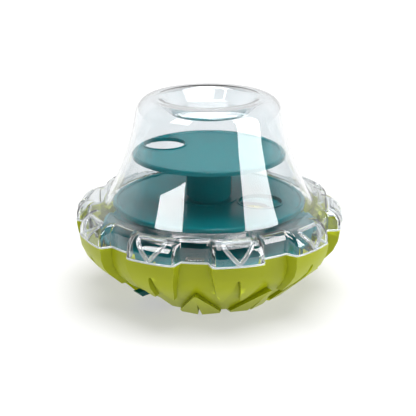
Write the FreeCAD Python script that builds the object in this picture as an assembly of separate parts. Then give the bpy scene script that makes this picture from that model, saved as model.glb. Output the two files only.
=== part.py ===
import FreeCAD, Part
import math
import os

from FreeCAD import Vector

# A tiered treat dispenser: a clear bell-shaped cover over two turning trays, standing in a
# petalled green bowl with a third tray, a ballast disc and an adjustable outlet at its foot.
# Millimetres, +Z up, the axis of the toy on Z, its feet on z = 0 and its front towards -Y.

# Overall
RIM_R = 95.0
SEAM_Z = 50.0
LOBES = 10
FIRST_LOBE_ANGLE = 11.8
PITCH_ANGLE = 360.0 / LOBES
GAP_STEP = 8.0
GAP_R = RIM_R - GAP_STEP
FRONT_ANGLE = -90.0
CHORD_ERROR = 0.3
EMBED = 0.5
CUT_PAST = 1.0

# Bowl walls: the petals lie on the outer surface, the spaces between them on the inner one
BOWL_WALL = 2.4
FOOT_R = 55.4
PETAL_CORNER_Z = 37.0
GAP_FOOT_R = 50.5
GAP_CORNER_Z = 34.2
RIM_UPRIGHT = 0.5
FOOT_RISE = 2.0

# Petals under the lugs, drawn as seen from outside: half widths and heights
PETAL_WAIST_HALF = 13.4
PETAL_WAIST_Z = 29.0
PETAL_WAIST_ROUND = 30.0
PETAL_TIP_HALF = 6.2
PETAL_TIP_Z = 14.6
PETAL_TIP_ROUND = 1.2
PETAL_NOTCH_Z = 45.0
PETAL_ROOT_R = 60.0
PETAL_ROOT_DROP = 8.0
POCKET_NOTCH_RISE = 3.8
POCKET_TIP_RISE = 10.1
POCKET_WAIST_RISE = 4.0
LOBE_HALF = 17.1
LOBE_DRAFT = 1.3

# Petals between them that reach the ground as feet
FOOT_HALF = 14.0
FOOT_TOP_Z = 27.0
FOOT_RIDGE = 0.8
FOOT_FALL = 3.0
FOOT_NOTCH_Z = 15.0
FOOT_NOTCH_HALF = 1.4
FOOT_INNER_R = 38.0
FOOT_EDGE = 1.0
FOOT_ROUND = 1.5
FOOT_MARGIN = 6.0
FOOT_ROOT = 40.0

# Outlet at the foot of the bowl, and the shutter that narrows it
OUTLET_ANGLE = -43.0
OUTLET_HALF = 13.0
OUTLET_TOP_HALF = 11.5
OUTLET_TOP_Z = 16.0
OUTLET_ROUND = 3.0
OUTLET_SINK = 3.5
OUTLET_INNER_R = GAP_FOOT_R - OUTLET_SINK
SHUTTER_T = 1.6
SHUTTER_SPAN_ANGLE = 26.0
SHUTTER_END_ANGLE = -45.5
SHUTTER_LOW_Z = 5.4
SHUTTER_HIGH_Z = 18.5
SHUTTER_CLOSE_ANGLE = 12.0
SHUTTER_OPEN_ANGLE = 3.0
TAB_W = 5.0
TAB_OUT = 3.2
TAB_LOW_Z = 8.4
TAB_TOP_Z = 12.6
GUIDE_SINK = 12.0
GUIDE_INNER_R = OUTLET_INNER_R - GUIDE_SINK
GUIDE_ROOM = 1.0
GUIDE_T = 1.6
GUIDE_LEG = 2.0
GUIDE_EAR_ANGLE = 7.0
SLIDE_GAP = 0.3
GUIDE_BOSS_R = 2.4
GUIDE_BOSS_SINK = 0.4
GUIDE_HOLE_GAP = 0.1
GUIDE_SCREW_R = 0.9
GUIDE_SCREW_LONG = 4.8
GUIDE_HEAD_R = 1.9
GUIDE_HEAD_H = 1.2
GUIDE_HEAD_LIFT = 0.06

# Clear cover
COVER_WALL = 2.0
TOP_Z = 140.5
SHOULDER_R = 49.4
SHOULDER_ROUND = 12.0
WAIST_R = 57.2
WAIST_Z = 96.0
WAIST_STRAIGHT = 1.0
FLANGE_REACH = 20.5
DOME_FOOT_R = RIM_R - FLANGE_REACH
FLANGE_Z = 66.0
FLANGE_ROUND = 6.5
DIMPLE_R = 25.0
DIMPLE_DEEP = 10.0
DIMPLE_ROUND = 5.0
CREST_R = 33.7
CREST_ROUND = 6.0
LUG_ROUND = 12.0
LUG_SINK = 12.5
LUG_INNER_R = DOME_FOOT_R - LUG_SINK
SEAM_GAP = 0.2
RIB_W = 3.0
RIB_H = 0.7
RIB_TOP_Z = 65.0
RIB_LOW_Z = 51.9
RIB_HALF = 11.0
RIB_INNER_R = GAP_R - GAP_STEP
RIB_REACH = 20.0

# Twist lock between cover and bowl
HOOKS = 5
HOOK_ROOM = 3.0
TONGUE_R = GAP_R - BOWL_WALL - HOOK_ROOM
TONGUE_T = 2.0
TONGUE_W = 12.0
TONGUE_DEEP = 8.0
HOOK_H = 3.0
HOOK_OUT = 1.6
CATCH_W = 14.0
CATCH_H = 2.5
LOCK_GAP = 0.3

# Ribs on the bowl's wall that carry the base tray
SHELF_W = 4.0
SHELF_T = 2.0
SHELF_STEP = 2.0
SHELF_DEEP = 16.0
SHELF_GAP = 0.8

# Trays and the column they stack on
PLATE_T = 2.0
LIP_H = 1.0
LIP_W = 2.6
LIP_BEVEL = 0.8
SKIRT_H = 1.3
UPPER_GAP = 1.3
UPPER_R = WAIST_R - COVER_WALL - UPPER_GAP
UPPER_Z = 101.6
UPPER_HOLE_ANGLE = -120.5
LOWER_GAP = 4.2
LOWER_R = DOME_FOOT_R - COVER_WALL - LOWER_GAP
LOWER_Z = 67.0
LOWER_HOLE_ANGLE = 75.0
BASE_TRAY_GAP = 3.2
BASE_TRAY_R = TONGUE_R - BASE_TRAY_GAP
BASE_TRAY_Z = 45.0
BASE_HOLE_ANGLE = 138.0
HOLE_R = 15.3
HOLE_AT_R = 37.5
BASE_HOLE_AT_R = 48.0
HOLE_BEAD = 1.2
HOLE_BEAD_DROP = 0.4
SLEEVE_R = 16.2
SPIGOT_R = 13.8
SPIGOT_BORE_R = 11.8
SPIGOT_RISE = 17.0
SHOULDER_RISE = 2.1
COLLAR_R = 14.6
HUB_R = 20.5
HUB_RISE = 0.8
TURN_FIT = 0.08
REST_GAP = 0.1
BEAD_OUT = 0.5
BEAD_H = 1.4
BEAD_DOWN = 3.0
BEAD_GAP = 0.4
SLOT_W = 1.6
SLOT_DEEP = 13.0

# Ballast and its cover
BALLAST_R = 31.0
BALLAST_BORE_R = 9.0
BALLAST_H = 7.6
CAP_T = 2.0
CAP_R = 44.0
CAP_DRUM_R = 33.6
CAP_TOP_Z = 17.0
CAP_BEVEL = 3.0
CAP_BOSS_H = 4.0
CAP_BOSS_GAP = 0.3
SCREW_AT_R = 38.8
SCREWS = 4
SCREW_R = 1.45
SCREW_HEAD_R = 2.8
SCREW_HEAD_H = 1.8
SCREW_LONG = 4.2
SCREW_HOLE_GAP = 0.2
SCREW_BOSS_R = 3.2
SCREW_BOSS_H = 3.2
PILOT_SINK = 1.4


def rz(r, z):
    """A point of a profile that is turned about the axis."""
    return Vector(r, 0, z)


def front(depth):
    """Places an outline, drawn as seen from the front, at a distance before the axis."""
    return lambda t, z: Vector(t, -depth, z)


def outline(corners):
    """Points round a closed outline of corners (u, v, rounding radius), with its roundings in chords."""
    points = []
    for i, (u, v, radius) in enumerate(corners):
        corner = Vector(u, v, 0)
        if radius <= 0:
            points.append(corner)
            continue
        before = corners[i - 1]
        after = corners[(i + 1) % len(corners)]
        to_before = Vector(before[0] - u, before[1] - v, 0).normalize()
        to_after = Vector(after[0] - u, after[1] - v, 0).normalize()
        half = to_before.getAngle(to_after) / 2
        reach = radius / math.tan(half)
        centre = corner + (to_before + to_after).normalize() * (radius / math.sin(half))
        middle = centre + (corner - centre).normalize() * radius
        arc = Part.Arc(corner + to_before * reach, middle, corner + to_after * reach)
        step = 2 * math.acos(1 - min(CHORD_ERROR / radius, 1.0))
        points += arc.discretize(math.ceil((math.pi - 2 * half) / step) + 1)
    return points


def face_of(corners, place):
    """Flat face inside an outline, each point (u, v) put in place."""
    points = [place(p.x, p.y) for p in outline(corners)]
    return Part.Face(Part.makePolygon(points + points[:1]))


def turned(corners):
    """Solid turned about the axis from a closed profile of (r, z, rounding radius)."""
    return face_of(corners, rz).revolve(Vector(0, 0, 0), Vector(0, 0, 1), 360)


def moved_in(corners, wall, still):
    """Counterclockwise corners moved in by a wall, roundings kept parallel. Sides listed in still stay."""
    lines = []
    count = len(corners)
    for i in range(count):
        start = Vector(corners[i][0], corners[i][1], 0)
        end = Vector(corners[(i + 1) % count][0], corners[(i + 1) % count][1], 0)
        along = (end - start).normalize()
        shift = 0.0 if i in still else wall
        lines.append((start + Vector(-along.y, along.x, 0) * shift, along))
    moved = []
    for i in range(count):
        start, along = lines[i - 1]
        other, across = lines[i]
        turn = along.cross(across).z
        at = start + along * ((other - start).cross(across).z / turn)
        radius = corners[i][2]
        if radius > 0:
            radius += wall if turn < 0 else -wall
        moved.append((at.x, at.y, radius))
    return moved


def sector(corners, start, span):
    """Part of a turned solid: from an angle measured from the front, over a span in degrees."""
    solid = face_of(corners, rz).revolve(Vector(0, 0, 0), Vector(0, 0, 1), span)
    return at_angle(solid, start + FRONT_ANGLE)


def at_angle(shape, angle):
    """Copy of a shape turned about the axis."""
    copy = shape.copy()
    copy.rotate(Vector(0, 0, 0), Vector(0, 0, 1), angle)
    return copy


def tube(outer, inner, low, high):
    """Round tube on the axis."""
    solid = Part.makeCylinder(outer, high - low, Vector(0, 0, low))
    if inner > 0:
        solid = solid.cut(Part.makeCylinder(inner, high - low, Vector(0, 0, low)))
    return solid


def upright_pin(radius, at_r, low, high):
    """Upright round pin at the front, at a distance from the axis."""
    return Part.makeCylinder(radius, high - low, Vector(0, -at_r, low))


def bowl_corners(rim, foot, corner_z, low, high):
    """Profile of a bowl: a cone up from the foot, rounded into an upright rim just under the seam."""
    slope = math.atan2(corner_z, rim - foot)
    rounding = (SEAM_Z - RIM_UPRIGHT - corner_z) / math.tan(math.pi / 4 - slope / 2)
    low_r = foot + low / math.tan(slope)
    return [(0, low, 0), (low_r, low, 0), (rim, corner_z, rounding), (rim, high, 0), (0, high, 0)]


def petal_surface(low, high):
    return bowl_corners(RIM_R, FOOT_R, PETAL_CORNER_Z, low, high)


def gap_surface(low, high):
    return bowl_corners(GAP_R, GAP_FOOT_R, GAP_CORNER_Z, low, high)


def mirrored(right):
    """Closed outline from its right half, whose first corner lies on the middle line."""
    return right + [(-t, z, r) for t, z, r in reversed(right[1:])]


def petal_outline(high):
    """Petal with two tips and a notch between them."""
    return mirrored([
        (0, PETAL_NOTCH_Z, PETAL_TIP_ROUND),
        (PETAL_TIP_HALF, PETAL_TIP_Z, PETAL_TIP_ROUND),
        (PETAL_WAIST_HALF, PETAL_WAIST_Z, PETAL_WAIST_ROUND),
        (LOBE_HALF + LOBE_DRAFT, high, 0),
    ])


def pocket_outline(high):
    """Hollow behind a petal: the petal's outline moved in by the wall, with blunter tips."""
    return mirrored([
        (0, PETAL_NOTCH_Z + POCKET_NOTCH_RISE, 0),
        (PETAL_TIP_HALF, PETAL_TIP_Z + POCKET_TIP_RISE, 0),
        (PETAL_WAIST_HALF - BOWL_WALL, PETAL_WAIST_Z + POCKET_WAIST_RISE, 0),
        (LOBE_HALF + LOBE_DRAFT - BOWL_WALL, high, 0),
    ])


def lobe_room(wall, low, high):
    """Upright block that holds one lobe, narrower towards its outer face, or its hollow within a wall."""
    slant = LOBE_DRAFT / GAP_STEP
    half_near = LOBE_HALF + LOBE_DRAFT + slant * (GAP_R - LUG_INNER_R) - wall
    half_far = LOBE_HALF - slant * CUT_PAST - wall
    far = RIM_R + CUT_PAST
    points = [
        Vector(-half_near, -LUG_INNER_R, low),
        Vector(-half_far, -far, low),
        Vector(half_far, -far, low),
        Vector(half_near, -LUG_INNER_R, low),
    ]
    return Part.Face(Part.makePolygon(points + points[:1])).extrude(Vector(0, 0, high - low))


def petal_block(corners, wall, high):
    """One petal under a lug, or the hollow behind it when moved in by the wall."""
    reach = RIM_R + CUT_PAST - PETAL_ROOT_R
    prism = face_of(corners, front(PETAL_ROOT_R)).extrude(Vector(0, -reach, 0))
    body = petal_surface(PETAL_TIP_Z - PETAL_ROOT_DROP, high)
    if wall:
        body = moved_in(body, wall, (0, 3, 4))
    return prism.common(lobe_room(wall, 0.0, high)).common(turned(body))


def foot_petal():
    """Petal between two others that reaches the ground: a ridged keel on the cone, notched below."""
    corners = [
        (0, FOOT_TOP_Z, FOOT_ROUND),
        (-FOOT_HALF, FOOT_RISE, 0),
        (-FOOT_HALF + FOOT_EDGE, 0, 0),
        (-FOOT_NOTCH_HALF, 0, 0),
        (0, FOOT_NOTCH_Z, 0),
        (FOOT_NOTCH_HALF, 0, 0),
        (FOOT_HALF - FOOT_EDGE, 0, 0),
        (FOOT_HALF, FOOT_RISE, 0),
    ]
    prism = face_of(corners, front(FOOT_INNER_R)).extrude(Vector(0, -(RIM_R - FOOT_INNER_R), 0))
    slope = math.atan2(PETAL_CORNER_Z, RIM_R - FOOT_R)
    away = Vector(0, -math.sin(slope), -math.cos(slope))
    up = Vector(0, -math.cos(slope), math.sin(slope))
    foot = Vector(0, -FOOT_R, 0)
    side = FOOT_HALF + FOOT_MARGIN
    fall = FOOT_FALL * side / FOOT_HALF

    def roof(t, out):
        return foot + Vector(t, 0, 0) + away * out - up * FOOT_TOP_Z

    ridge = [
        (-side, -FOOT_ROOT, 0),
        (-side, FOOT_RIDGE - fall, 0),
        (0, FOOT_RIDGE, FOOT_ROUND),
        (side, FOOT_RIDGE - fall, 0),
        (side, -FOOT_ROOT, 0),
    ]
    return prism.common(face_of(ridge, roof).extrude(up * (4 * FOOT_TOP_Z)))


def lobe_angles():
    return [FIRST_LOBE_ANGLE + PITCH_ANGLE * i for i in range(LOBES)]


def gap_angles():
    return [angle - PITCH_ANGLE / 2 for angle in lobe_angles()]


def apart(first, second):
    """Angle between two directions, in degrees."""
    return abs((first - second + 180) % 360 - 180)


def foot_angles():
    """Spaces between the petals that hold a foot: all but the one over the outlet."""
    return [angle for angle in gap_angles() if apart(angle, OUTLET_ANGLE) > PITCH_ANGLE / 2]


def tongue_angles():
    return gap_angles()[::LOBES // HOOKS]


def catch_angles():
    return [angle + PITCH_ANGLE for angle in tongue_angles()]


def screw_angles():
    return [45.0 + 360.0 / SCREWS * i for i in range(SCREWS)]


def around(shape, angles):
    """Copies of a shape drawn at the front, one at each angle."""
    return [at_angle(shape, angle) for angle in angles]


def arc_block(angle, width, inner, outer, low, high):
    """Block of a ring, centred at an angle and of a width measured at its middle radius."""
    span = math.degrees(width / ((inner + outer) / 2))
    corners = [(inner, low, 0), (outer, low, 0), (outer, high, 0), (inner, high, 0)]
    return sector(corners, angle - span / 2, span)


def outlet_prism(grow, near):
    """Outlet's opening as a block through the wall, from a distance before the axis outwards."""
    corners = [
        (-OUTLET_HALF - grow, FOOT_RISE - CUT_PAST, 0),
        (OUTLET_HALF + grow, FOOT_RISE - CUT_PAST, 0),
        (OUTLET_TOP_HALF + grow, OUTLET_TOP_Z + grow, OUTLET_ROUND),
        (-OUTLET_TOP_HALF - grow, OUTLET_TOP_Z + grow, OUTLET_ROUND),
    ]
    return at_angle(face_of(corners, front(near)).extrude(Vector(0, near - RIM_R, 0)), OUTLET_ANGLE)


def cone_at(z, depth):
    """Radius of a surface on the wall between the petals: a height on its cone, a depth inside it."""
    slope = math.atan2(GAP_CORNER_Z, GAP_R - GAP_FOOT_R)
    return GAP_FOOT_R + z / math.tan(slope) - depth / math.sin(slope)


def inward():
    """Direction square to the bowl's cone, into the bowl, at the front."""
    slope = math.atan2(GAP_CORNER_Z, GAP_R - GAP_FOOT_R)
    return Vector(0, math.sin(slope), math.cos(slope))


def cone_layer(low, high, near, far):
    """Profile of a layer along the bowl's cone, between two depths inside it."""
    return [
        (cone_at(low, far), low, 0),
        (cone_at(low, near), low, 0),
        (cone_at(high, near), high, 0),
        (cone_at(high, far), high, 0),
    ]


def base_shell():
    floor_z = FOOT_RISE + BOWL_WALL
    high = SEAM_Z + CUT_PAST
    body = turned(gap_surface(FOOT_RISE, SEAM_Z))
    petals = around(petal_block(petal_outline(SEAM_Z), 0.0, SEAM_Z), lobe_angles())
    body = body.multiFuse(petals + around(foot_petal(), foot_angles()))
    hollow = turned(moved_in(gap_surface(FOOT_RISE, high), BOWL_WALL, (3, 4)))
    pockets = around(petal_block(pocket_outline(high), BOWL_WALL, high), lobe_angles())
    body = body.cut(hollow.multiFuse(pockets)).cut(outlet_prism(0.0, OUTLET_INNER_R))
    boss = upright_pin(SCREW_BOSS_R, SCREW_AT_R, floor_z - EMBED, floor_z + SCREW_BOSS_H)
    pilot = upright_pin(SCREW_R, SCREW_AT_R, floor_z - PILOT_SINK, floor_z + SCREW_BOSS_H)
    body = body.multiFuse(catches() + shelf_ribs() + around(boss, screw_angles()) + guide_bosses(False))
    return body.cut(Part.makeCompound(around(pilot, screw_angles()) + guide_bosses(True)))


def catches():
    """Ledges inside the rim that the cover's hooks turn under."""
    inner = TONGUE_R + LOCK_GAP
    low = SEAM_Z - TONGUE_DEEP + HOOK_H + LOCK_GAP
    outer = GAP_R - BOWL_WALL / 2
    return [arc_block(angle, CATCH_W, inner, outer, low, low + CATCH_H) for angle in catch_angles()]


def shelf_ribs():
    """Upright ribs on the bowl's wall that carry the rim of the base tray, stepped clear of the hooks."""
    top = BASE_TRAY_Z - PLATE_T - SKIRT_H
    step_r = BASE_TRAY_R + SHELF_GAP
    low = top - SHELF_DEEP
    profile = [
        (BASE_TRAY_R - SHELF_W, top, 0),
        (step_r, top, 0),
        (step_r, top - SHELF_STEP, 0),
        (GAP_R, top - SHELF_STEP, 0),
        (GAP_R, low, 0),
        (cone_at(low, BOWL_WALL), low, 0),
    ]
    rib = face_of(profile, lambda r, z: Vector(-SHELF_T / 2, -r, z)).extrude(Vector(SHELF_T, 0, 0))
    outside = turned(moved_in(gap_surface(FOOT_RISE, SEAM_Z), BOWL_WALL / 2, (3, 4)))
    return around(rib.common(outside), catch_angles())


def guide_depth():
    """Depth inside the bowl's outer surface of the guide's web."""
    return BOWL_WALL + SLIDE_GAP + SHUTTER_T + SLIDE_GAP


def guide_ends():
    """Angles where the guide's web starts and ends, past the shutter's travel."""
    start = SHUTTER_END_ANGLE - SHUTTER_SPAN_ANGLE - SHUTTER_OPEN_ANGLE - GUIDE_EAR_ANGLE
    return start, SHUTTER_END_ANGLE + SHUTTER_CLOSE_ANGLE + GUIDE_EAR_ANGLE


def guide_screw_angles():
    start, end = guide_ends()
    return start + GUIDE_EAR_ANGLE / 2, end - GUIDE_EAR_ANGLE / 2


def guide_foot(depth):
    """Point of a guide screw's axis at the front, at a depth inside the bowl's outer surface."""
    z = (SHUTTER_LOW_Z + SHUTTER_HIGH_Z) / 2
    return Vector(0, -cone_at(z, 0.0), z) + inward() * depth


def guide_bosses(bored):
    """Bosses on the bowl's wall under the guide's ears, or the pilot holes in them."""
    if bored:
        hole = Part.makeCylinder(GUIDE_SCREW_R, GUIDE_SCREW_LONG, guide_foot(BOWL_WALL / 2), inward())
        return around(hole, guide_screw_angles())
    start = BOWL_WALL - GUIDE_BOSS_SINK
    boss = Part.makeCylinder(GUIDE_BOSS_R, guide_depth() - start, guide_foot(start), inward())
    inside = turned(moved_in(gap_surface(FOOT_RISE, SEAM_Z), guide_depth(), (3, 4)))
    return around(boss.cut(inside), guide_screw_angles())


def outlet_shutter():
    """Curved plate behind the outlet, with the thumb tab that stands out through it."""
    near = BOWL_WALL + SLIDE_GAP
    plate = sector(cone_layer(SHUTTER_LOW_Z, SHUTTER_HIGH_Z, near, near + SHUTTER_T),
                   SHUTTER_END_ANGLE - SHUTTER_SPAN_ANGLE, SHUTTER_SPAN_ANGLE)
    middle_r = cone_at((TAB_LOW_Z + TAB_TOP_Z) / 2, 0.0)
    span = math.degrees(TAB_W / middle_r)
    tab = sector(cone_layer(TAB_LOW_Z, TAB_TOP_Z, -TAB_OUT, near + SHUTTER_T / 2),
                 SHUTTER_END_ANGLE - span, span)
    return plate.fuse(tab).removeSplitter()


def shutter_guide():
    """Channel inside the bowl that holds the shutter against the wall, open over the outlet."""
    depth = guide_depth()
    start, end = guide_ends()
    top = SHUTTER_HIGH_Z + SLIDE_GAP
    web = sector(cone_layer(SHUTTER_LOW_Z, top, depth, depth + GUIDE_T), start, end - start)
    leg = sector(cone_layer(top, top + GUIDE_LEG, BOWL_WALL, depth + GUIDE_T), start, end - start)
    bottom = guide_foot(depth - GUIDE_T)
    hole = Part.makeCylinder(GUIDE_SCREW_R + GUIDE_HOLE_GAP, 3 * GUIDE_T, bottom, inward())
    holes = Part.makeCompound(around(hole, guide_screw_angles()))
    return web.fuse(leg).cut(outlet_prism(GUIDE_ROOM, GUIDE_INNER_R)).cut(holes).removeSplitter()


def guide_screws():
    """Small screws through the guide's ears into the bowl's bosses."""
    seat = guide_depth() + GUIDE_T + GUIDE_HEAD_LIFT
    head = Part.makeCylinder(GUIDE_HEAD_R, GUIDE_HEAD_H, guide_foot(seat), inward())
    end = guide_foot(seat - GUIDE_SCREW_LONG)
    shank = Part.makeCylinder(GUIDE_SCREW_R, GUIDE_SCREW_LONG + EMBED, end, inward())
    return Part.makeCompound(around(head.fuse(shank), guide_screw_angles()))


def lug_surface(low, grow=0.0):
    """Profile of a lug: level from the flange, rounded over to an upright outer face."""
    side = RIM_R + grow
    top = FLANGE_Z + grow
    return [(LUG_INNER_R, low, 0), (side, low, 0), (side, top, LUG_ROUND + grow), (LUG_INNER_R, top, 0)]


def lug(wall, low):
    """One lug of the cover, or the hollow in it when moved in by the wall."""
    body = lug_surface(low)
    if wall:
        body = moved_in(body, wall, (0, 3))
    return lobe_room(wall, low, FLANGE_Z + CUT_PAST).common(turned(body))


def lug_rib():
    """Raised triangular rib on a lug, point down."""
    side = math.hypot(RIB_HALF, RIB_TOP_Z - RIB_LOW_Z)

    def triangle(grow):
        top = RIB_TOP_Z + grow
        low = RIB_LOW_Z - grow * side / RIB_HALF
        half = RIB_HALF * (top - low) / (RIB_TOP_Z - RIB_LOW_Z)
        return [(-half, top, 0), (0, low, 0), (half, top, 0)]

    outer = face_of(triangle(RIB_W / 2), front(RIB_INNER_R)).extrude(Vector(0, -RIB_REACH, 0))
    inner = face_of(triangle(-RIB_W / 2), front(RIB_INNER_R)).extrude(Vector(0, -RIB_REACH, 0))
    skin = turned(lug_surface(SEAM_Z + SEAM_GAP, RIB_H))
    inside = turned(moved_in(lug_surface(SEAM_Z), COVER_WALL / 2, (0, 3)))
    return outer.cut(inner).common(skin).cut(inside)


def bell_surface(low):
    """Profile of the bell: the wall between the lugs, flange, flared side, shoulder and dimpled top."""
    floor_z = TOP_Z - DIMPLE_DEEP
    side = Vector(DOME_FOOT_R - WAIST_R, WAIST_Z - FLANGE_Z, 0)
    neck = Vector(WAIST_R - SHOULDER_R, TOP_Z - WAIST_Z, 0)
    reach = min(side.Length, neck.Length - SHOULDER_ROUND) - WAIST_STRAIGHT
    waist_round = reach / math.tan(side.getAngle(neck) / 2)
    return [
        (0, low, 0),
        (GAP_R, low, 0),
        (GAP_R, FLANGE_Z, FLANGE_ROUND),
        (DOME_FOOT_R, FLANGE_Z, 0),
        (WAIST_R, WAIST_Z, waist_round),
        (SHOULDER_R, TOP_Z, SHOULDER_ROUND),
        (CREST_R, TOP_Z, CREST_ROUND),
        (DIMPLE_R, floor_z, DIMPLE_ROUND),
        (0, floor_z, 0),
    ]


def clear_cover():
    low = SEAM_Z + SEAM_GAP
    lugs = around(lug(0.0, low), lobe_angles())
    ribs = around(lug_rib(), lobe_angles())
    body = turned(bell_surface(low)).multiFuse(lugs + ribs)
    rooms = around(lug(COVER_WALL, low - CUT_PAST), lobe_angles())
    hollow = turned(moved_in(bell_surface(low - CUT_PAST), COVER_WALL, (0, 8)))
    return body.cut(hollow.multiFuse(rooms)).multiFuse(tongues(low)).removeSplitter()


def tongues(low):
    """Hooked tongues that hang from the wall between the lugs and pass the bowl's catches."""
    foot = SEAM_Z - TONGUE_DEEP
    wall = GAP_R - COVER_WALL / 2
    root = TONGUE_R - EMBED
    top = low + COVER_WALL
    parts = []
    for angle in tongue_angles():
        parts.append(arc_block(angle, TONGUE_W, TONGUE_R - TONGUE_T, TONGUE_R, foot, top))
        parts.append(arc_block(angle, TONGUE_W, root, TONGUE_R + HOOK_OUT, foot, foot + HOOK_H))
        parts.append(arc_block(angle, TONGUE_W, root, wall, low, top))
    return parts


def tray_plate(radius, top, hole_angle, hole_at):
    """Round tray with a raised lip, a short skirt under its edge and one beaded round hole."""
    low = top - PLATE_T - SKIRT_H
    plate = turned([
        (0, top - PLATE_T, 0),
        (radius - LIP_W, top - PLATE_T, 0),
        (radius - LIP_W, low, 0),
        (radius, low, 0),
        (radius, top - LIP_BEVEL, 0),
        (radius - LIP_BEVEL, top, 0),
        (radius - LIP_W, top, 0),
        (radius - LIP_W - LIP_H, top - LIP_H, 0),
        (0, top - LIP_H, 0),
    ])
    bead = upright_pin(HOLE_R + HOLE_BEAD, hole_at, low, top - HOLE_BEAD_DROP)
    hole = upright_pin(HOLE_R, hole_at, low, top)
    return plate.fuse(at_angle(bead, hole_angle)).cut(at_angle(hole, hole_angle))


def spigot(tray_top):
    """Hub, shoulder and split snap spigot that stand on a tray and carry the next one."""
    base = tray_top - PLATE_T
    hub = tube(HUB_R, SPIGOT_BORE_R, base, tray_top - LIP_H + HUB_RISE)
    collar = tube(COLLAR_R, SPIGOT_BORE_R, base, tray_top + SHOULDER_RISE)
    top = tray_top + SHOULDER_RISE + SPIGOT_RISE
    post = tube(SPIGOT_R, SPIGOT_BORE_R, base, top)
    bead_z = top - BEAD_DOWN
    bead = turned([
        (SPIGOT_BORE_R, bead_z, 0),
        (SPIGOT_R, bead_z, 0),
        (SPIGOT_R + BEAD_OUT, bead_z + BEAD_H / 2, 0),
        (SPIGOT_R, bead_z + BEAD_H, 0),
        (SPIGOT_BORE_R, bead_z + BEAD_H, 0),
    ])
    slot = Part.makeBox(SLOT_W, 4 * SPIGOT_R, SLOT_DEEP, Vector(-SLOT_W / 2, -2 * SPIGOT_R, top - SLOT_DEEP))
    return hub.multiFuse([collar, post, bead]).cut(slot.fuse(at_angle(slot, 90.0)))


def sleeve(tray_top, below_top):
    """Sleeve under a tray that slips over the spigot of the tray below and turns on it."""
    low = below_top + SHOULDER_RISE + REST_GAP
    bore = SPIGOT_R + TURN_FIT
    solid = tube(SLEEVE_R, bore, low, tray_top - PLATE_T + EMBED)
    bead_z = below_top + SHOULDER_RISE + SPIGOT_RISE - BEAD_DOWN
    reach = BEAD_OUT + BEAD_GAP
    groove = turned([
        (SPIGOT_BORE_R, bead_z - BEAD_GAP - reach, 0),
        (bore, bead_z - BEAD_GAP - reach, 0),
        (bore + reach, bead_z - BEAD_GAP, 0),
        (bore + reach, bead_z + BEAD_H + BEAD_GAP, 0),
        (bore, bead_z + BEAD_H + BEAD_GAP + reach, 0),
        (SPIGOT_BORE_R, bead_z + BEAD_H + BEAD_GAP + reach, 0),
    ])
    return solid.cut(groove)


def upper_tray():
    plate = tray_plate(UPPER_R, UPPER_Z, UPPER_HOLE_ANGLE, HOLE_AT_R)
    return plate.fuse(sleeve(UPPER_Z, LOWER_Z)).removeSplitter()


def lower_tray():
    plate = tray_plate(LOWER_R, LOWER_Z, LOWER_HOLE_ANGLE, HOLE_AT_R)
    return plate.multiFuse([sleeve(LOWER_Z, BASE_TRAY_Z), spigot(LOWER_Z)]).removeSplitter()


def base_tray():
    plate = tray_plate(BASE_TRAY_R, BASE_TRAY_Z, BASE_HOLE_ANGLE, BASE_HOLE_AT_R)
    leg = tube(SLEEVE_R, SPIGOT_R, CAP_TOP_Z, BASE_TRAY_Z - PLATE_T + EMBED)
    return plate.multiFuse([leg, spigot(BASE_TRAY_Z)]).removeSplitter()


def ballast_weight():
    """Steel ring that keeps the toy upright."""
    return tube(BALLAST_R, BALLAST_BORE_R, FOOT_RISE + BOWL_WALL, FOOT_RISE + BOWL_WALL + BALLAST_H)


def weight_cover():
    """Bevelled cap over the ballast, screwed to the bowl, with a boss that centres the column."""
    floor_z = FOOT_RISE + BOWL_WALL
    flange_z = floor_z + SCREW_BOSS_H
    outside = [
        (0, floor_z, 0),
        (CAP_DRUM_R, floor_z, 0),
        (CAP_DRUM_R, CAP_TOP_Z - CAP_BEVEL, 0),
        (CAP_DRUM_R - CAP_BEVEL, CAP_TOP_Z, 0),
        (0, CAP_TOP_Z, 0),
    ]
    inside = moved_in(outside, CAP_T, (0, 4))
    flange = tube(CAP_R, CAP_DRUM_R - CAP_T, flange_z, flange_z + CAP_T)
    boss = tube(SPIGOT_R - CAP_BOSS_GAP, 0, CAP_TOP_Z - CAP_T, CAP_TOP_Z + CAP_BOSS_H)
    solid = turned(outside).cut(turned(inside)).multiFuse([flange, boss])
    hole = upright_pin(SCREW_R + SCREW_HOLE_GAP, SCREW_AT_R, flange_z, flange_z + CAP_T)
    return solid.cut(Part.makeCompound(around(hole, screw_angles()))).removeSplitter()


def weight_cover_screws():
    """Screws that hold the cap down on the bowl's bosses."""
    head_z = FOOT_RISE + BOWL_WALL + SCREW_BOSS_H + CAP_T
    head = upright_pin(SCREW_HEAD_R, SCREW_AT_R, head_z, head_z + SCREW_HEAD_H)
    shank = upright_pin(SCREW_R, SCREW_AT_R, head_z - SCREW_LONG, head_z + EMBED)
    return Part.makeCompound(around(head.fuse(shank), screw_angles()))


PIECES = [
    base_shell,
    shutter_guide,
    guide_screws,
    outlet_shutter,
    ballast_weight,
    weight_cover,
    weight_cover_screws,
    base_tray,
    lower_tray,
    upper_tray,
    clear_cover,
]


def main():
    os.makedirs("parts", exist_ok=True)
    for make in PIECES:
        shape = make()
        shape.exportStep("parts/" + make.__name__ + ".step")
        print(make.__name__, shape.isValid(), len(shape.Solids), round(shape.Volume / 1000, 2), "cm3")


main()
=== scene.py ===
import math

import bmesh
import bpy
from mathutils import Matrix, Vector


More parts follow.
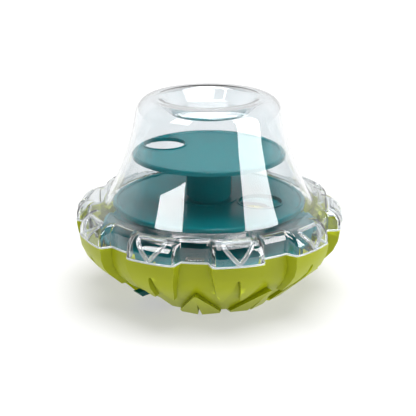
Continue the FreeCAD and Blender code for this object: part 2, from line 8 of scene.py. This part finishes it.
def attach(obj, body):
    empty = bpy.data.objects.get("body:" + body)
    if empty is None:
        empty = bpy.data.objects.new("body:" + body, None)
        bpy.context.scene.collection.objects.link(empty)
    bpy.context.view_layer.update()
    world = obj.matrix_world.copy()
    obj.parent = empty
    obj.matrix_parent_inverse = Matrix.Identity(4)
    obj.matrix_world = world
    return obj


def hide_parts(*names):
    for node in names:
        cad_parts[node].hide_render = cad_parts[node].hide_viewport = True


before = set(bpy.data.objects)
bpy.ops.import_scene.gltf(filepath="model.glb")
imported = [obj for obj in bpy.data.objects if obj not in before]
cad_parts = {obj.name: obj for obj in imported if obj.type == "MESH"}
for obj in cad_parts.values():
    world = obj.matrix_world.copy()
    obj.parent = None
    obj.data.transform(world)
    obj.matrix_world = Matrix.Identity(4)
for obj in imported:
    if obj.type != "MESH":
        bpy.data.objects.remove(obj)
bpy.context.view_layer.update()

# Looks, studio and camera of the treat ball. The clear cover is drawn anew, and every other
# piece is a finished copy of its solid.

MM = 0.001

# Sizes of the cover in millimetres and degrees, the main ones as its solid has them.
# Radii are from the toy's axis and heights from the floor.
RIM_R = 95.0
GAP_STEP = 8.0
GAP_R = RIM_R - GAP_STEP
LOBES = 10
PITCH_ANGLE = 360.0 / LOBES
FIRST_LOBE_ANGLE = 11.8
COVER_WALL = 2.0
BOWL_WALL = 2.4
SEAM_Z = 50.0
SEAM_GAP = 0.2
EDGE_Z = SEAM_Z + SEAM_GAP

# Bell, from its top down to the flange
TOP_Z = 140.5
DIMPLE_DEEP = 10.0
DIMPLE_FLOOR_Z = TOP_Z - DIMPLE_DEEP
DIMPLE_R = 25.0
DIMPLE_ROUND = 5.0
CREST_R = 33.7
CREST_ROUND = 6.0
SHOULDER_R = 49.4
SHOULDER_ROUND = 12.0
WAIST_R = 57.2
WAIST_Z = 96.0
WAIST_ROUND = 182.0
FLANGE_REACH = 20.5
DOME_FOOT_R = RIM_R - FLANGE_REACH
DOME_FOOT_ROUND = 1.2
FLANGE_Z = 66.0
FLANGE_ROUND = 6.5
OUTLINE_CHORDS = 10

# Lugs, and the lower edge that they share with the spaces between them
LOBE_HALF = 17.1
LOBE_DRAFT = 1.3
LUG_ROUND = 12.0
LUG_CORNER = 3.0
LUG_ROOT = 1.2
LUG_CHORDS = 6
LUG_FACE_CUTS = 7
SPACE_CUTS = 2
EDGE_ROUND = 0.8
INNER_EDGE_ROUND = 0.3
EDGE_REACH = 1.2

# Triangular ribs on the lugs
RIB_W = 3.0
RIB_H = 0.7
RIB_SINK = 1.0
RIB_SLOPE = 0.3
RIB_BACK_ROUND = 0.25
RIB_TOP_Z = 65.0
RIB_LOW_Z = 51.9
RIB_HALF = 11.0
RIB_CORNER = 1.4
RIB_CHORDS = 5
RIB_STRETCH = 1.0

# Bead along the seam
LIP_DEPTH = 0.7
LIP_OUT = 0.35
LIP_LIFT = 0.1
LIP_H = 1.3
LIP_LOW_ROUND = 0.2
LIP_TOP_ROUND = 0.3

# Hooked tongues of the twist lock
HOOKS = 5
HOOK_ROOM = 3.0
TONGUE_R = GAP_R - BOWL_WALL - HOOK_ROOM
TONGUE_T = 2.0
TONGUE_W = 12.0
TONGUE_DEEP = 8.0
TONGUE_LOW_Z = SEAM_Z - TONGUE_DEEP
TONGUE_ROUND = 0.5
TONGUE_CUTS = 8
HOOK_H = 3.0
HOOK_OUT = 1.6
HOOK_HEEL_ROUND = 0.6
HOOK_NOSE_ROUND = 0.8
HOOK_THROAT_ROUND = 0.4

# Chords in each rounding of a rib, a bead or a tongue
SECTION_CHORDS = 3

# Distance in metres up to which two points are one, in drawn pieces and in meshes of solids
POINT_GAP = 1e-6
SOLID_POINT_GAP = 2e-6

# Angles in degrees up to which faces of a solid become one, and up to which shading is smoothed
FLAT_ANGLE = 0.5
SMOOTH_ANGLE = 32.0


# Outlines


def lathe_point(r, angle, z):
    """Point in metres at a radius, an angle from the front towards +X in degrees, and a height."""
    turn = math.radians(angle)
    return Vector((r * math.sin(turn), -r * math.cos(turn), z)) * MM


def rounded(corners, chords):
    """Points along corners (u, v, rounding radius), each rounding cut into a number of chords."""
    points = []
    last = len(corners) - 1
    for i, (u, v, radius) in enumerate(corners):
        corner = Vector((u, v))
        if i in (0, last) or radius <= 0:
            points.append(corner)
            continue
        to_before = (Vector(corners[i - 1][:2]) - corner).normalized()
        to_after = (Vector(corners[i + 1][:2]) - corner).normalized()
        half = to_before.angle(to_after) / 2
        centre = corner + (to_before + to_after).normalized() * (radius / math.sin(half))
        start = corner + to_before * (radius / math.tan(half)) - centre
        sweep = start.angle_signed(corner + to_after * (radius / math.tan(half)) - centre)
        for k in range(chords + 1):
            points.append(centre + Matrix.Rotation(-sweep * k / chords, 2) @ start)
    return points


def inset(corners, wall):
    """Corners of an open outline moved to its left by a wall, with the roundings kept parallel."""
    lines = []
    for (u, v, _), (x, y, _) in zip(corners, corners[1:]):
        along = Vector((x - u, y - v)).normalized()
        lines.append((Vector((u, v)) + Vector((-along.y, along.x)) * wall, along))
    moved = [(*lines[0][0], 0.0)]
    for i in range(1, len(corners) - 1):
        start, along = lines[i - 1]
        other, across = lines[i]
        turn = along.cross(across)
        at = start + along * ((other - start).cross(across) / turn)
        radius = corners[i][2]
        if radius > 0:
            radius += -wall if turn > 0 else wall
        moved.append((*at, radius))
    along = lines[-1][1]
    end = Vector(corners[-1][:2]) + Vector((-along.y, along.x)) * wall
    moved.append((*end, 0.0))
    return moved


def divided(points, counts):
    """Points of a line with each stretch cut into its count of parts, without the last point."""
    cut = []
    for a, b, count in zip(points, points[1:], counts):
        cut += [a + (b - a) * i / count for i in range(count)]
    return cut


# Meshes


def in_scene(name, data):
    """New object of the scene, at the origin."""
    obj = bpy.data.objects.new(name, data)
    bpy.context.scene.collection.objects.link(obj)
    return obj


def mesh_object(name, vertices, faces, smooth=True):
    """Object at the origin from points in metres and faces."""
    mesh = bpy.data.meshes.new(name)
    mesh.from_pydata([tuple(v) for v in vertices], [], faces)
    mesh.polygons.foreach_set("use_smooth", [smooth] * len(mesh.polygons))
    mesh.update()
    return in_scene(name, mesh)


def facing_out(obj):
    """Merges doubles and turns all faces of a closed piece outwards."""
    work = bmesh.new()
    work.from_mesh(obj.data)
    bmesh.ops.remove_doubles(work, verts=work.verts, dist=POINT_GAP)
    bmesh.ops.recalc_face_normals(work, faces=work.faces)
    work.to_mesh(obj.data)
    work.free()
    return obj


def swept(name, vertices, rings, points):
    """Closed band from rings of points that follow one another round a loop."""
    faces = []
    for i in range(rings):
        a = i * points
        b = (i + 1) % rings * points
        for j in range(points):
            k = (j + 1) % points
            faces.append((a + j, b + j, b + k, a + k))
    return facing_out(mesh_object(name, vertices, faces))


def smooth_copy(node, body, edge, facets):
    """Copy of a solid with smoothed shading and eased edges, which rides on the solid's body.

    The edges have a width in millimetres and a number of facets across them."""
    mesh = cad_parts[node].data.copy()
    obj = in_scene(node + "_finish", mesh)
    work = bmesh.new()
    work.from_mesh(mesh)
    bmesh.ops.remove_doubles(work, verts=work.verts, dist=SOLID_POINT_GAP)
    bmesh.ops.dissolve_degenerate(work, edges=work.edges, dist=SOLID_POINT_GAP)
    bmesh.ops.dissolve_limit(work, angle_limit=math.radians(FLAT_ANGLE), verts=work.verts,
                             edges=work.edges)
    limit = math.radians(SMOOTH_ANGLE)
    for face in work.faces:
        face.smooth = True
    for join in work.edges:
        join.smooth = len(join.link_faces) == 2 and join.calc_face_angle(0.0) < limit
    work.to_mesh(mesh)
    work.free()
    bevel = obj.modifiers.new("eased edges", "BEVEL")
    bevel.width = edge * MM
    bevel.segments = facets
    bevel.limit_method = "ANGLE"
    bevel.angle_limit = limit
    bevel.miter_outer = "MITER_SHARP"
    bevel.harden_normals = True
    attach(obj, body)
    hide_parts(node)
    return obj


# The clear cover's shell


def cover_outline(side, rounding, wall):
    """Points of one skin, moved in by a wall, from the middle of the top to the lower edge.

    The side is the radius below the flange, and the rounding is the one between the two."""
    corners = [
        (0.0, DIMPLE_FLOOR_Z, 0.0),
        (DIMPLE_R, DIMPLE_FLOOR_Z, DIMPLE_ROUND),
        (CREST_R, TOP_Z, CREST_ROUND),
        (SHOULDER_R, TOP_Z, SHOULDER_ROUND),
        (WAIST_R, WAIST_Z, WAIST_ROUND),
        (DOME_FOOT_R, FLANGE_Z, DOME_FOOT_ROUND),
        (side, FLANGE_Z, rounding),
        (side, EDGE_Z, 0.0),
    ]
    edge = -EDGE_ROUND
    if wall:
        corners = inset(corners, -wall)
        corners[0] = (0.0, corners[0][1], 0.0)
        edge = INNER_EDGE_ROUND
    end = corners[-1][0]
    corners[-1] = (end, EDGE_Z, abs(edge))
    return rounded(corners + [(end + EDGE_REACH * edge, EDGE_Z, 0.0)], OUTLINE_CHORDS)


def lobe_stations(wall):
    """Stations across one lug and half the spaces beside it, as (angle, share of the step out)."""
    half_pitch = PITCH_ANGLE / 2
    plan = rounded([
        (GAP_R * math.radians(half_pitch), 0.0, 0.0),
        (LOBE_HALF + LOBE_DRAFT - wall, 0.0, LUG_ROOT + wall),
        (LOBE_HALF - wall, GAP_STEP, LUG_CORNER - wall),
        (0.0, GAP_STEP, 0.0),
    ], LUG_CHORDS)
    counts = [SPACE_CUTS] + [1] * (len(plan) - 3) + [LUG_FACE_CUTS]
    right = []
    for across, out in divided(plan, counts)[1:]:
        share = min(max(out / GAP_STEP, 0.0), 1.0)
        right.append((math.degrees(math.asin(across / (GAP_R + out))), share))
    left = [(-angle, share) for angle, share in right]
    return [(-half_pitch, 0.0)] + left + [(0.0, 1.0)] + right[::-1]


def stations_round(wall):
    """Stations all round the cover, as (angle, share of the step out)."""
    lobe = lobe_stations(wall)
    return [(FIRST_LOBE_ANGLE + PITCH_ANGLE * k + angle, share)
            for k in range(LOBES) for angle, share in lobe]


def cover_skin(wall):
    """One skin of the cover: a column of points for each station round it."""
    gap = cover_outline(GAP_R, FLANGE_ROUND, wall)
    lug = cover_outline(RIM_R, LUG_ROUND, wall)
    columns = []
    for angle, share in stations_round(wall):
        points = [low.lerp(high, share) for low, high in zip(gap, lug)]
        columns.append([lathe_point(p.x, angle, p.y) for p in points])
    return columns


def clear_bell():
    """Bell, flange and hollow lugs as one closed shell."""
    outer = cover_skin(0.0)
    inner = cover_skin(COVER_WALL)
    columns = len(outer)
    rows = len(outer[0])
    skin = columns * rows
    starts = [(i * rows, (i + 1) % columns * rows) for i in range(columns)]
    faces = []
    for a, b in starts:
        faces += [(a + j, b + j, b + j + 1, a + j + 1) for j in range(rows - 1)]
    for a, b in starts:
        a += skin
        b += skin
        faces += [(a + j, a + j + 1, b + j + 1, b + j) for j in range(rows - 1)]
    for a, b in starts:
        a += rows - 1
        b += rows - 1
        faces.append((a, b, b + skin, a + skin))
    vertices = [p for column in outer + inner for p in column]
    return facing_out(mesh_object("clear_bell", vertices, faces))


# The cover's ribs, seam bead and tongues


def on_lug(across, z):
    """Place on the face of a lug at the front, and the way out of the surface there."""
    rise = min(max(z - (FLANGE_Z - LUG_ROUND), 0.0), LUG_ROUND)
    out = math.sqrt(LUG_ROUND ** 2 - rise ** 2)
    r = RIM_R - LUG_ROUND + out
    place = lathe_point(r, math.degrees(math.asin(across / r)), z)
    reach = place.xy.length
    return place, Vector((place.x / reach * out, place.y / reach * out, rise)).normalized()


def lug_rib():
    """Triangular bead on a lug at the front, point down, with a rounded back."""
    triangle = rounded([
        (0.0, RIB_TOP_Z, 0.0),
        (-RIB_HALF, RIB_TOP_Z, RIB_CORNER),
        (0.0, RIB_LOW_Z, RIB_CORNER),
        (RIB_HALF, RIB_TOP_Z, RIB_CORNER),
        (0.0, RIB_TOP_Z, 0.0),
    ], RIB_CHORDS)
    lengths = [(b - a).length for a, b in zip(triangle, triangle[1:])]
    path = divided(triangle, [max(1, round(length / RIB_STRETCH)) for length in lengths])
    section = rounded([
        (0.0, RIB_H, 0.0),
        (RIB_W / 2 - RIB_SLOPE, RIB_H, RIB_BACK_ROUND),
        (RIB_W / 2, -RIB_SINK, 0.0),
        (-RIB_W / 2, -RIB_SINK, 0.0),
        (RIB_SLOPE - RIB_W / 2, RIB_H, RIB_BACK_ROUND),
    ], SECTION_CHORDS)
    vertices = []
    for i, point in enumerate(path):
        place, out = on_lug(*point)
        ahead = on_lug(*path[(i + 1) % len(path)])[0] - on_lug(*path[i - 1])[0]
        side = out.cross(ahead).normalized()
        vertices += [place + (side * p.x + out * p.y) * MM for p in section]
    return swept("rib_template", vertices, len(path), len(section))


def seam_lip():
    """Low bead round the cover's lower edge, which stands out a little from lugs and spaces."""
    line = [lathe_point(GAP_R + share * GAP_STEP, angle, EDGE_Z)
            for angle, share in stations_round(0.0)]
    section = rounded([
        (-LIP_DEPTH, LIP_LIFT, 0.0),
        (LIP_OUT, LIP_LIFT, LIP_LOW_ROUND),
        (LIP_OUT, LIP_H, LIP_TOP_ROUND),
        (-LIP_DEPTH, LIP_H, 0.0),
    ], SECTION_CHORDS)
    vertices = []
    for i, place in enumerate(line):
        ahead = line[(i + 1) % len(line)] - line[i - 1]
        out = Vector((ahead.y, -ahead.x, 0.0)).normalized()
        vertices += [place + (out * p.x + Vector((0.0, 0.0, p.y))) * MM for p in section]
    return swept("seam_lip", vertices, len(line), len(section))


def hooked_tongue():
    """Tongue that hangs inside the cover's rim at the front, with its hook pointing outwards."""
    inner = TONGUE_R - TONGUE_T
    root = GAP_R - COVER_WALL / 2
    ledge = EDGE_Z + COVER_WALL
    nose = TONGUE_R + HOOK_OUT
    catch_z = TONGUE_LOW_Z + HOOK_H
    profile = rounded([
        (inner, ledge, TONGUE_ROUND),
        (inner, TONGUE_LOW_Z, HOOK_HEEL_ROUND),
        (nose, TONGUE_LOW_Z, HOOK_NOSE_ROUND),
        (nose, catch_z, TONGUE_ROUND),
        (TONGUE_R, catch_z, HOOK_THROAT_ROUND),
        (TONGUE_R, EDGE_Z, TONGUE_ROUND),
        (root, EDGE_Z, 0.0),
        (root, ledge, 0.0),
    ], SECTION_CHORDS)
    half = math.degrees(TONGUE_W / 2 / TONGUE_R)
    vertices = []
    for i in range(TONGUE_CUTS + 1):
        angle = half * (2 * i / TONGUE_CUTS - 1)
        vertices += [lathe_point(p.x, angle, p.y) for p in profile]
    count = len(profile)
    end = TONGUE_CUTS * count
    faces = [tuple(range(count)), tuple(range(end, end + count))]
    for a in range(0, end, count):
        b = a + count
        for j in range(count):
            k = (j + 1) % count
            faces.append((a + j, a + k, b + k, b + j))
    return facing_out(mesh_object("tongue_template", vertices, faces))


# Node trees


class Value:
    """A socket that takes part in arithmetic, one Math node for each operation."""

    def __init__(self, nodes, socket):
        self.nodes = nodes
        self.socket = socket

    def math(self, operation, other, swap=False):
        """Result of an operation on the value and another, or on the other and the value."""
        pair = (other, self) if swap else (self, other)
        return self.nodes.node("ShaderNodeMath", {"operation": operation}, dict(enumerate(pair)))

    def __add__(self, other):
        return self.math("ADD", other)

    def __sub__(self, other):
        return self.math("SUBTRACT", other)

    def __mul__(self, other):
        return self.math("MULTIPLY", other)

    def __truediv__(self, other):
        return self.math("DIVIDE", other)

    def __rsub__(self, other):
        return self.math("SUBTRACT", other, swap=True)

    def __rtruediv__(self, other):
        return self.math("DIVIDE", other, swap=True)

    __radd__ = __add__
    __rmul__ = __mul__


class Nodes:
    """An empty node tree and the one method that adds a node to it."""

    def __init__(self, tree):
        self.tree = tree
        tree.nodes.clear()

    def node(self, kind, settings=None, inputs=None, output=0):
        """Adds a node, sets it, fills or links its sockets, and gives the output asked for."""
        made = self.tree.nodes.new(kind)
        for key, value in (settings or {}).items():
            setattr(made, key, value)
        for key, value in (inputs or {}).items():
            if isinstance(value, Value):
                self.tree.links.new(value.socket, made.inputs[key])
            else:
                made.inputs[key].default_value = value
        return Value(self, made.outputs[output]) if made.outputs else None

    def fade(self, value, start, end, first, last, curve="LINEAR"):
        """Number that goes from first to last while a value goes from start to end."""
        return self.node("ShaderNodeMapRange", {"interpolation_type": curve}, {
            "Value": value, "From Min": start, "From Max": end, "To Min": first, "To Max": last})

    def blend(self, share, first, second):
        """Colour between two colours, by the Mix node's own sockets for colours."""
        return self.node("ShaderNodeMix", {"data_type": "RGBA"}, {0: share, 6: first, 7: second},
                         output=2)


# What repeats round the axis


def ring_tree():
    """Geometry nodes: copies of an object at equal angles round the axis, as one mesh."""
    group = bpy.data.node_groups.new("ring of copies", "GeometryNodeTree")
    identifiers = {}
    for name, kind in (("Template", "NodeSocketObject"), ("Count", "NodeSocketInt"),
                       ("Start", "NodeSocketFloat"), ("Material", "NodeSocketMaterial")):
        socket = group.interface.new_socket(name, in_out="INPUT", socket_type=kind)
        identifiers[name] = socket.identifier
    group.interface.new_socket("Geometry", in_out="OUTPUT", socket_type="NodeSocketGeometry")
    ring = Nodes(group)

    def given(name):
        return ring.node("NodeGroupInput", output=name)

    points = ring.node("GeometryNodePoints", None, {"Count": given("Count")})
    pitch = 2 * math.pi / given("Count")
    turn = ring.node("GeometryNodeInputIndex") * pitch + given("Start")
    angles = ring.node("ShaderNodeCombineXYZ", None, {"Z": turn})
    template = ring.node("GeometryNodeObjectInfo", None, {"Object": given("Template")},
                         output="Geometry")
    copies = ring.node("GeometryNodeInstanceOnPoints", None, {
        "Points": points, "Instance": template, "Rotation": angles})
    whole = ring.node("GeometryNodeRealizeInstances", None, {"Geometry": copies})
    painted = ring.node("GeometryNodeSetMaterial", None, {
        "Geometry": whole, "Material": given("Material")})
    ring.node("NodeGroupOutput", None, {"Geometry": painted})
    return group, identifiers


def ring_of(name, template, count, start, material):
    """Copies of a template drawn at the front, made into one mesh that rides on the cover."""
    holder = mesh_object(name + "_holder", [], [])
    modifier = holder.modifiers.new("ring", "NODES")
    modifier.node_group = ring_group
    modifier[ring_inputs["Template"]] = template
    modifier[ring_inputs["Count"]] = count
    modifier[ring_inputs["Start"]] = math.radians(start)
    modifier[ring_inputs["Material"]] = material
    holder.update_tag()
    graph = bpy.context.evaluated_depsgraph_get()
    mesh = bpy.data.meshes.new_from_object(holder.evaluated_get(graph), depsgraph=graph)
    mesh.name = name
    for spare in (holder, template):
        bpy.data.objects.remove(spare)
    obj = in_scene(name, mesh)
    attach(obj, "cover")
    return obj


# Finishes

# Pointiness of a surface: pale as a painted highlight where it is high, at edges, and dark as
# painted shade where it is low, in creases
EDGE_HIGHLIGHT_STARTS = 0.53
EDGE_HIGHLIGHT_FULL = 0.6
CREASE_SHADE_FULL = 0.44
CREASE_SHADE_STARTS = 0.495
EDGE_HIGHLIGHT_TINT = 1.6
CREASE_SHADE_TINT = 0.4

# Skin of moulded plastic: orange peel with its waves to a metre and its depth in metres, and
# blotches with their waves to a metre and the spread of roughness in them
PEEL_SCALE = 900.0
PEEL_DEPTH = 0.0002
BLOTCH_SCALE = 45.0
BLOTCH_SPREAD = 0.08

# Clear plastic's bending of light, and what its shadow lets through
PLASTIC_IOR = 1.58
SHADOW_COLOUR = (0.52, 0.54, 0.55)


class Finish(Nodes):
    """A material's node tree."""

    def __init__(self, name):
        self.material = bpy.data.materials.new(name)
        self.material.use_nodes = True
        super().__init__(self.material.node_tree)

    def place(self):
        """The piece's own coordinates in metres."""
        return self.node("ShaderNodeTexCoord", output="Object")

    def done(self, surface):
        """The material with its surface."""
        self.node("ShaderNodeOutputMaterial", None, {"Surface": surface})
        return self.material


def tint(colour, share=1.0):
    """Opaque colour with each part times a share."""
    return (*(share * part for part in colour), 1.0)


def moulded_plastic(name, colour, roughness, specular, grain=0.04, edge=0.0):
    """Moulded plastic with a faint orange-peel skin; where asked, edges are paler as a painted
    highlight and creases darker as painted shade."""
    finish = Finish(name)
    place = finish.place()
    peel = finish.node("ShaderNodeTexNoise", None, {
        "Vector": place, "Scale": PEEL_SCALE, "Detail": 2.0})
    blotch = finish.node("ShaderNodeTexNoise", None, {
        "Vector": place, "Scale": BLOTCH_SCALE, "Detail": 3.0})
    skin = finish.node("ShaderNodeBump", None, {
        "Height": peel, "Strength": grain, "Distance": PEEL_DEPTH})
    sharpness = finish.node("ShaderNodeNewGeometry", output="Pointiness")
    # Painted highlight on edges and painted shade in creases, both found by pointiness
    painted_edge_highlight = finish.fade(sharpness, EDGE_HIGHLIGHT_STARTS, EDGE_HIGHLIGHT_FULL, 0.0, edge)
    painted_crease_shade = finish.fade(sharpness, CREASE_SHADE_FULL, CREASE_SHADE_STARTS, edge, 0.0)
    pale = finish.blend(painted_edge_highlight, tint(colour), tint(colour, EDGE_HIGHLIGHT_TINT))
    return finish.done(finish.node("ShaderNodeBsdfPrincipled", None, {
        "Base Color": finish.blend(painted_crease_shade, pale, tint(colour, CREASE_SHADE_TINT)),
        "Roughness": blotch * BLOTCH_SPREAD + (roughness - BLOTCH_SPREAD / 2),
        "Normal": skin,
        "Specular IOR Level": specular,
    }))


def clear_plastic(name, colour, roughness, clearness):
    """Clear plastic that bends what is seen through it and casts a light shadow."""
    finish = Finish(name)
    solid = finish.node("ShaderNodeBsdfPrincipled", None, {
        "Base Color": tint(colour),
        "Roughness": roughness,
        "Transmission Weight": clearness,
        "IOR": PLASTIC_IOR,
    })
    shade = finish.node("ShaderNodeBsdfTransparent", None, {"Color": tint(SHADOW_COLOUR)})
    shadow = finish.node("ShaderNodeLightPath", output="Is Shadow Ray")
    return finish.done(finish.node("ShaderNodeMixShader", None, {0: shadow, 1: solid, 2: shade}))


def metal(name, colour, roughness):
    """Plain bare or plated metal."""
    finish = Finish(name)
    return finish.done(finish.node("ShaderNodeBsdfPrincipled", None, {
        "Base Color": tint(colour), "Metallic": 1.0, "Roughness": roughness}))


def dress(obj, material):
    """Gives a piece its one material."""
    obj.data.materials.clear()
    obj.data.materials.append(material)
    return obj


# The toy

# The lime green gets painted highlights on its edges and painted shade in its creases
green = moulded_plastic("lime green plastic", colour=(0.4, 0.45, 0.004), roughness=0.38,
                        specular=0.25, edge=1.0)
teal = moulded_plastic("dark teal plastic", colour=(0.004, 0.137, 0.15), roughness=0.14,
                       specular=0.25, grain=0.02)
steel = metal("bright steel", colour=(0.62, 0.62, 0.62), roughness=0.3)
zinc = metal("zinc-plated screw", colour=(0.7, 0.7, 0.68), roughness=0.35)
clear = clear_plastic("clear plastic", colour=(0.91, 0.93, 0.945), roughness=0.02, clearness=1.0)
bright_edge = clear_plastic("clear plastic edge", colour=(0.95, 0.965, 0.975), roughness=0.1,
                            clearness=0.55)
bead = clear_plastic("clear plastic bead", colour=(0.93, 0.95, 0.96), roughness=0.05,
                     clearness=0.86)

# Each solid's body, width of its eased edges in millimetres, facets across them, and finish
SOLIDS = {
    "base_shell": ("base", 1.4, 3, green),
    "base_tray": ("base", 0.35, 2, teal),
    "lower_tray": ("lower tray", 0.35, 2, teal),
    "upper_tray": ("upper tray", 0.35, 2, teal),
    "shutter_guide": ("base", 0.3, 2, teal),
    "outlet_shutter": ("shutter", 0.3, 2, teal),
    "weight_cover": ("base", 0.3, 2, teal),
    "ballast_weight": ("base", 0.8, 3, steel),
    "guide_screws": ("base", 0.2, 2, zinc),
    "weight_cover_screws": ("base", 0.2, 2, zinc),
}
for node, (body, edge, facets, finish) in SOLIDS.items():
    dress(smooth_copy(node, body, edge, facets), finish)

cover = dress(clear_bell(), clear)
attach(cover, "cover")
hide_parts("clear_cover")

ring_group, ring_inputs = ring_tree()
ring_of("lug_ribs", lug_rib(), LOBES, FIRST_LOBE_ANGLE, bead)
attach(dress(seam_lip(), bright_edge), "cover")
ring_of("hooked_tongues", hooked_tongue(), HOOKS, FIRST_LOBE_ANGLE - PITCH_ANGLE / 2, clear)


# The studio, in metres, degrees and watts

MIDDLE = Vector((0.0, 0.0, 0.07))
LIGHT_DISTANCE = 1.0
SIDE_LIGHT_SIZE = (0.2, 0.7)
FLOOR_HALF = 6.0
FLOOR_GREY = (0.37, 0.37, 0.37)


def direction(azimuth, elevation, distance):
    """Place round the toy: azimuth from the front towards +X, elevation above the floor."""
    turn = math.radians(azimuth)
    rise = math.radians(elevation)
    return Vector((math.sin(turn) * math.cos(rise), -math.cos(turn) * math.cos(rise),
                   math.sin(rise))) * distance


def facing(place, target):
    """Turn of a light or camera at a place that points at a target."""
    return (target - place).to_track_quat("-Z", "Y").to_euler()


def area_light(name, size, place, towards, power):
    """Rectangular light that points at a place."""
    data = bpy.data.lights.new(name, "AREA")
    data.shape = "RECTANGLE"
    data.size, data.size_y = size
    data.energy = power
    lamp = in_scene(name, data)
    lamp.location = place
    lamp.rotation_euler = facing(place, towards)
    return lamp


def upright_softbox(name, azimuth, width, low, high, power):
    """Upright rectangular light round the toy that shows in reflections only."""
    middle = Vector((0.0, 0.0, (low + high) / 2))
    place = direction(azimuth, 0, LIGHT_DISTANCE) + middle
    lamp = area_light(name, (width, high - low), place, middle, power)
    lamp.visible_diffuse = False
    lamp.visible_transmission = False


def side_light(name, azimuth, elevation, power):
    """Weak light from the side that shows in no reflection."""
    place = MIDDLE + direction(azimuth, elevation, LIGHT_DISTANCE)
    lamp = area_light(name, SIDE_LIGHT_SIZE, place, MIDDLE, power)
    lamp.visible_glossy = False
    lamp.visible_transmission = False


def floor_material(painted_shadow_glow, rises):
    """White floor that glows as painted light, more with distance, where less lamp light falls.

    Its glow is lowest under the toy as a painted shadow, and each rise (from, to, by) adds to it."""
    finish = Finish("pale floor")
    distance = finish.node("ShaderNodeVectorMath", {"operation": "LENGTH"},
                           {"Vector": finish.place()}, output="Value")
    # Painted light: the floor's glow starts lowest under the toy, as a painted shadow
    painted_floor_glow = painted_shadow_glow
    for start, end, rise in rises:
        painted_floor_glow = painted_floor_glow + finish.fade(distance, start, end, 0.0, rise)
    return finish.done(finish.node("ShaderNodeBsdfPrincipled", None, {
        "Base Color": tint(FLOOR_GREY), "Roughness": 0.6, "Specular IOR Level": 0.0,
        "Emission Color": painted_floor_glow, "Emission Strength": 1.0}))


def studio_floor(material):
    """Wide level floor under the toy."""
    square = ((-1, -1), (1, -1), (1, 1), (-1, 1))
    corners = [(x * FLOOR_HALF, y * FLOOR_HALF, 0.0) for x, y in square]
    return dress(mesh_object("floor", corners, [(0, 1, 2, 3)], smooth=False), material)


def studio_world(seen, soft, mirrored, dim):
    """White surroundings: brightness seen directly, in soft light and in gloss.

    They are dim towards the zenith, and gloss finds them only behind the toy."""
    world = bpy.data.worlds.new("studio")
    world.use_nodes = True
    sky = Nodes(world.node_tree)

    def towards(axis):
        way = sky.node("ShaderNodeTexCoord", output="Generated")
        return sky.node("ShaderNodeSeparateXYZ", None, {"Vector": way}, output=axis)

    def path(name):
        return sky.node("ShaderNodeLightPath", output=name)

    def choose(mask, plain, instead):
        return mask * instead + (1.0 - mask) * plain

    low = sky.fade(towards("Z"), start=0.5, end=0.95, first=1.0, last=dim, curve="SMOOTHSTEP")
    back = sky.fade(towards("Y"), start=-0.25, end=0.35, first=dim, last=mirrored,
                    curve="SMOOTHSTEP")
    glossy = (path("Is Glossy Ray") + path("Glossy Depth")).math("GREATER_THAN", 0.5)
    diffuse = (path("Is Diffuse Ray") + path("Diffuse Depth")).math("GREATER_THAN", 0.5)
    shown = (low * seen).math("MAXIMUM", path("Is Camera Ray") * seen)
    light = sky.node("ShaderNodeBackground", None, {
        "Color": tint((1.0, 1.0, 1.0)),
        "Strength": choose(diffuse, choose(glossy, shown, low * back), soft),
    })
    sky.node("ShaderNodeOutputWorld", None, {"Surface": light})
    return world


# The floor's glow is painted light: lowest under the toy as a painted shadow, rising outwards
floor = studio_floor(floor_material(painted_shadow_glow=0.48, rises=((0.07, 0.12, 0.04), (0.2, 1.8, 0.47))))
bpy.context.scene.world = studio_world(seen=1.0, soft=0.1, mirrored=0.8, dim=0.03)

overhead = area_light("overhead softbox", size=(1.3, 1.1), place=MIDDLE + Vector((0.1, 0.1, 1.25)),
                      towards=MIDDLE, power=32.0)
overhead.visible_glossy = False
strip = area_light("overhead strip", size=(1.2, 0.14), place=MIDDLE + Vector((0.0, -0.1, 1.2)),
                   towards=MIDDLE, power=5.0)
strip.visible_diffuse = False
upright_softbox("left strip", azimuth=-46, width=0.56, low=0.47, high=1.15, power=18.0)
upright_softbox("right strip", azimuth=61, width=0.7, low=0.06, high=1.1, power=31.0)
side_light("right side light", azimuth=92, elevation=10, power=4.5)
side_light("left side light", azimuth=-94, elevation=10, power=1.8)


# The camera, in metres and degrees, with its picture in pixels

CAMERA_DISTANCE = 0.7
CAMERA_ELEVATION = 18.96
CAMERA_TARGET = Vector((0.0, 0.0, 0.0646))
FOCAL_PX = 973.8
FRAME_PX = 416.0
SENSOR_MM = 36.0
TARGET_X_PX = 208.94
TARGET_Y_PX = 199.0


def photo_camera():
    """Camera at the photograph's viewing angle, with the toy at its place in the picture."""
    data = bpy.data.cameras.new("camera")
    data.sensor_width = SENSOR_MM
    data.lens = FOCAL_PX / FRAME_PX * SENSOR_MM
    data.shift_x = (FRAME_PX / 2 - TARGET_X_PX) / FRAME_PX
    data.shift_y = (TARGET_Y_PX - FRAME_PX / 2) / FRAME_PX
    camera = in_scene("camera", data)
    camera.location = CAMERA_TARGET + direction(0, CAMERA_ELEVATION, CAMERA_DISTANCE)
    camera.rotation_euler = facing(camera.location, CAMERA_TARGET)
    return camera


bpy.context.scene.camera = photo_camera()
bpy.context.scene.view_settings.view_transform = "Standard"
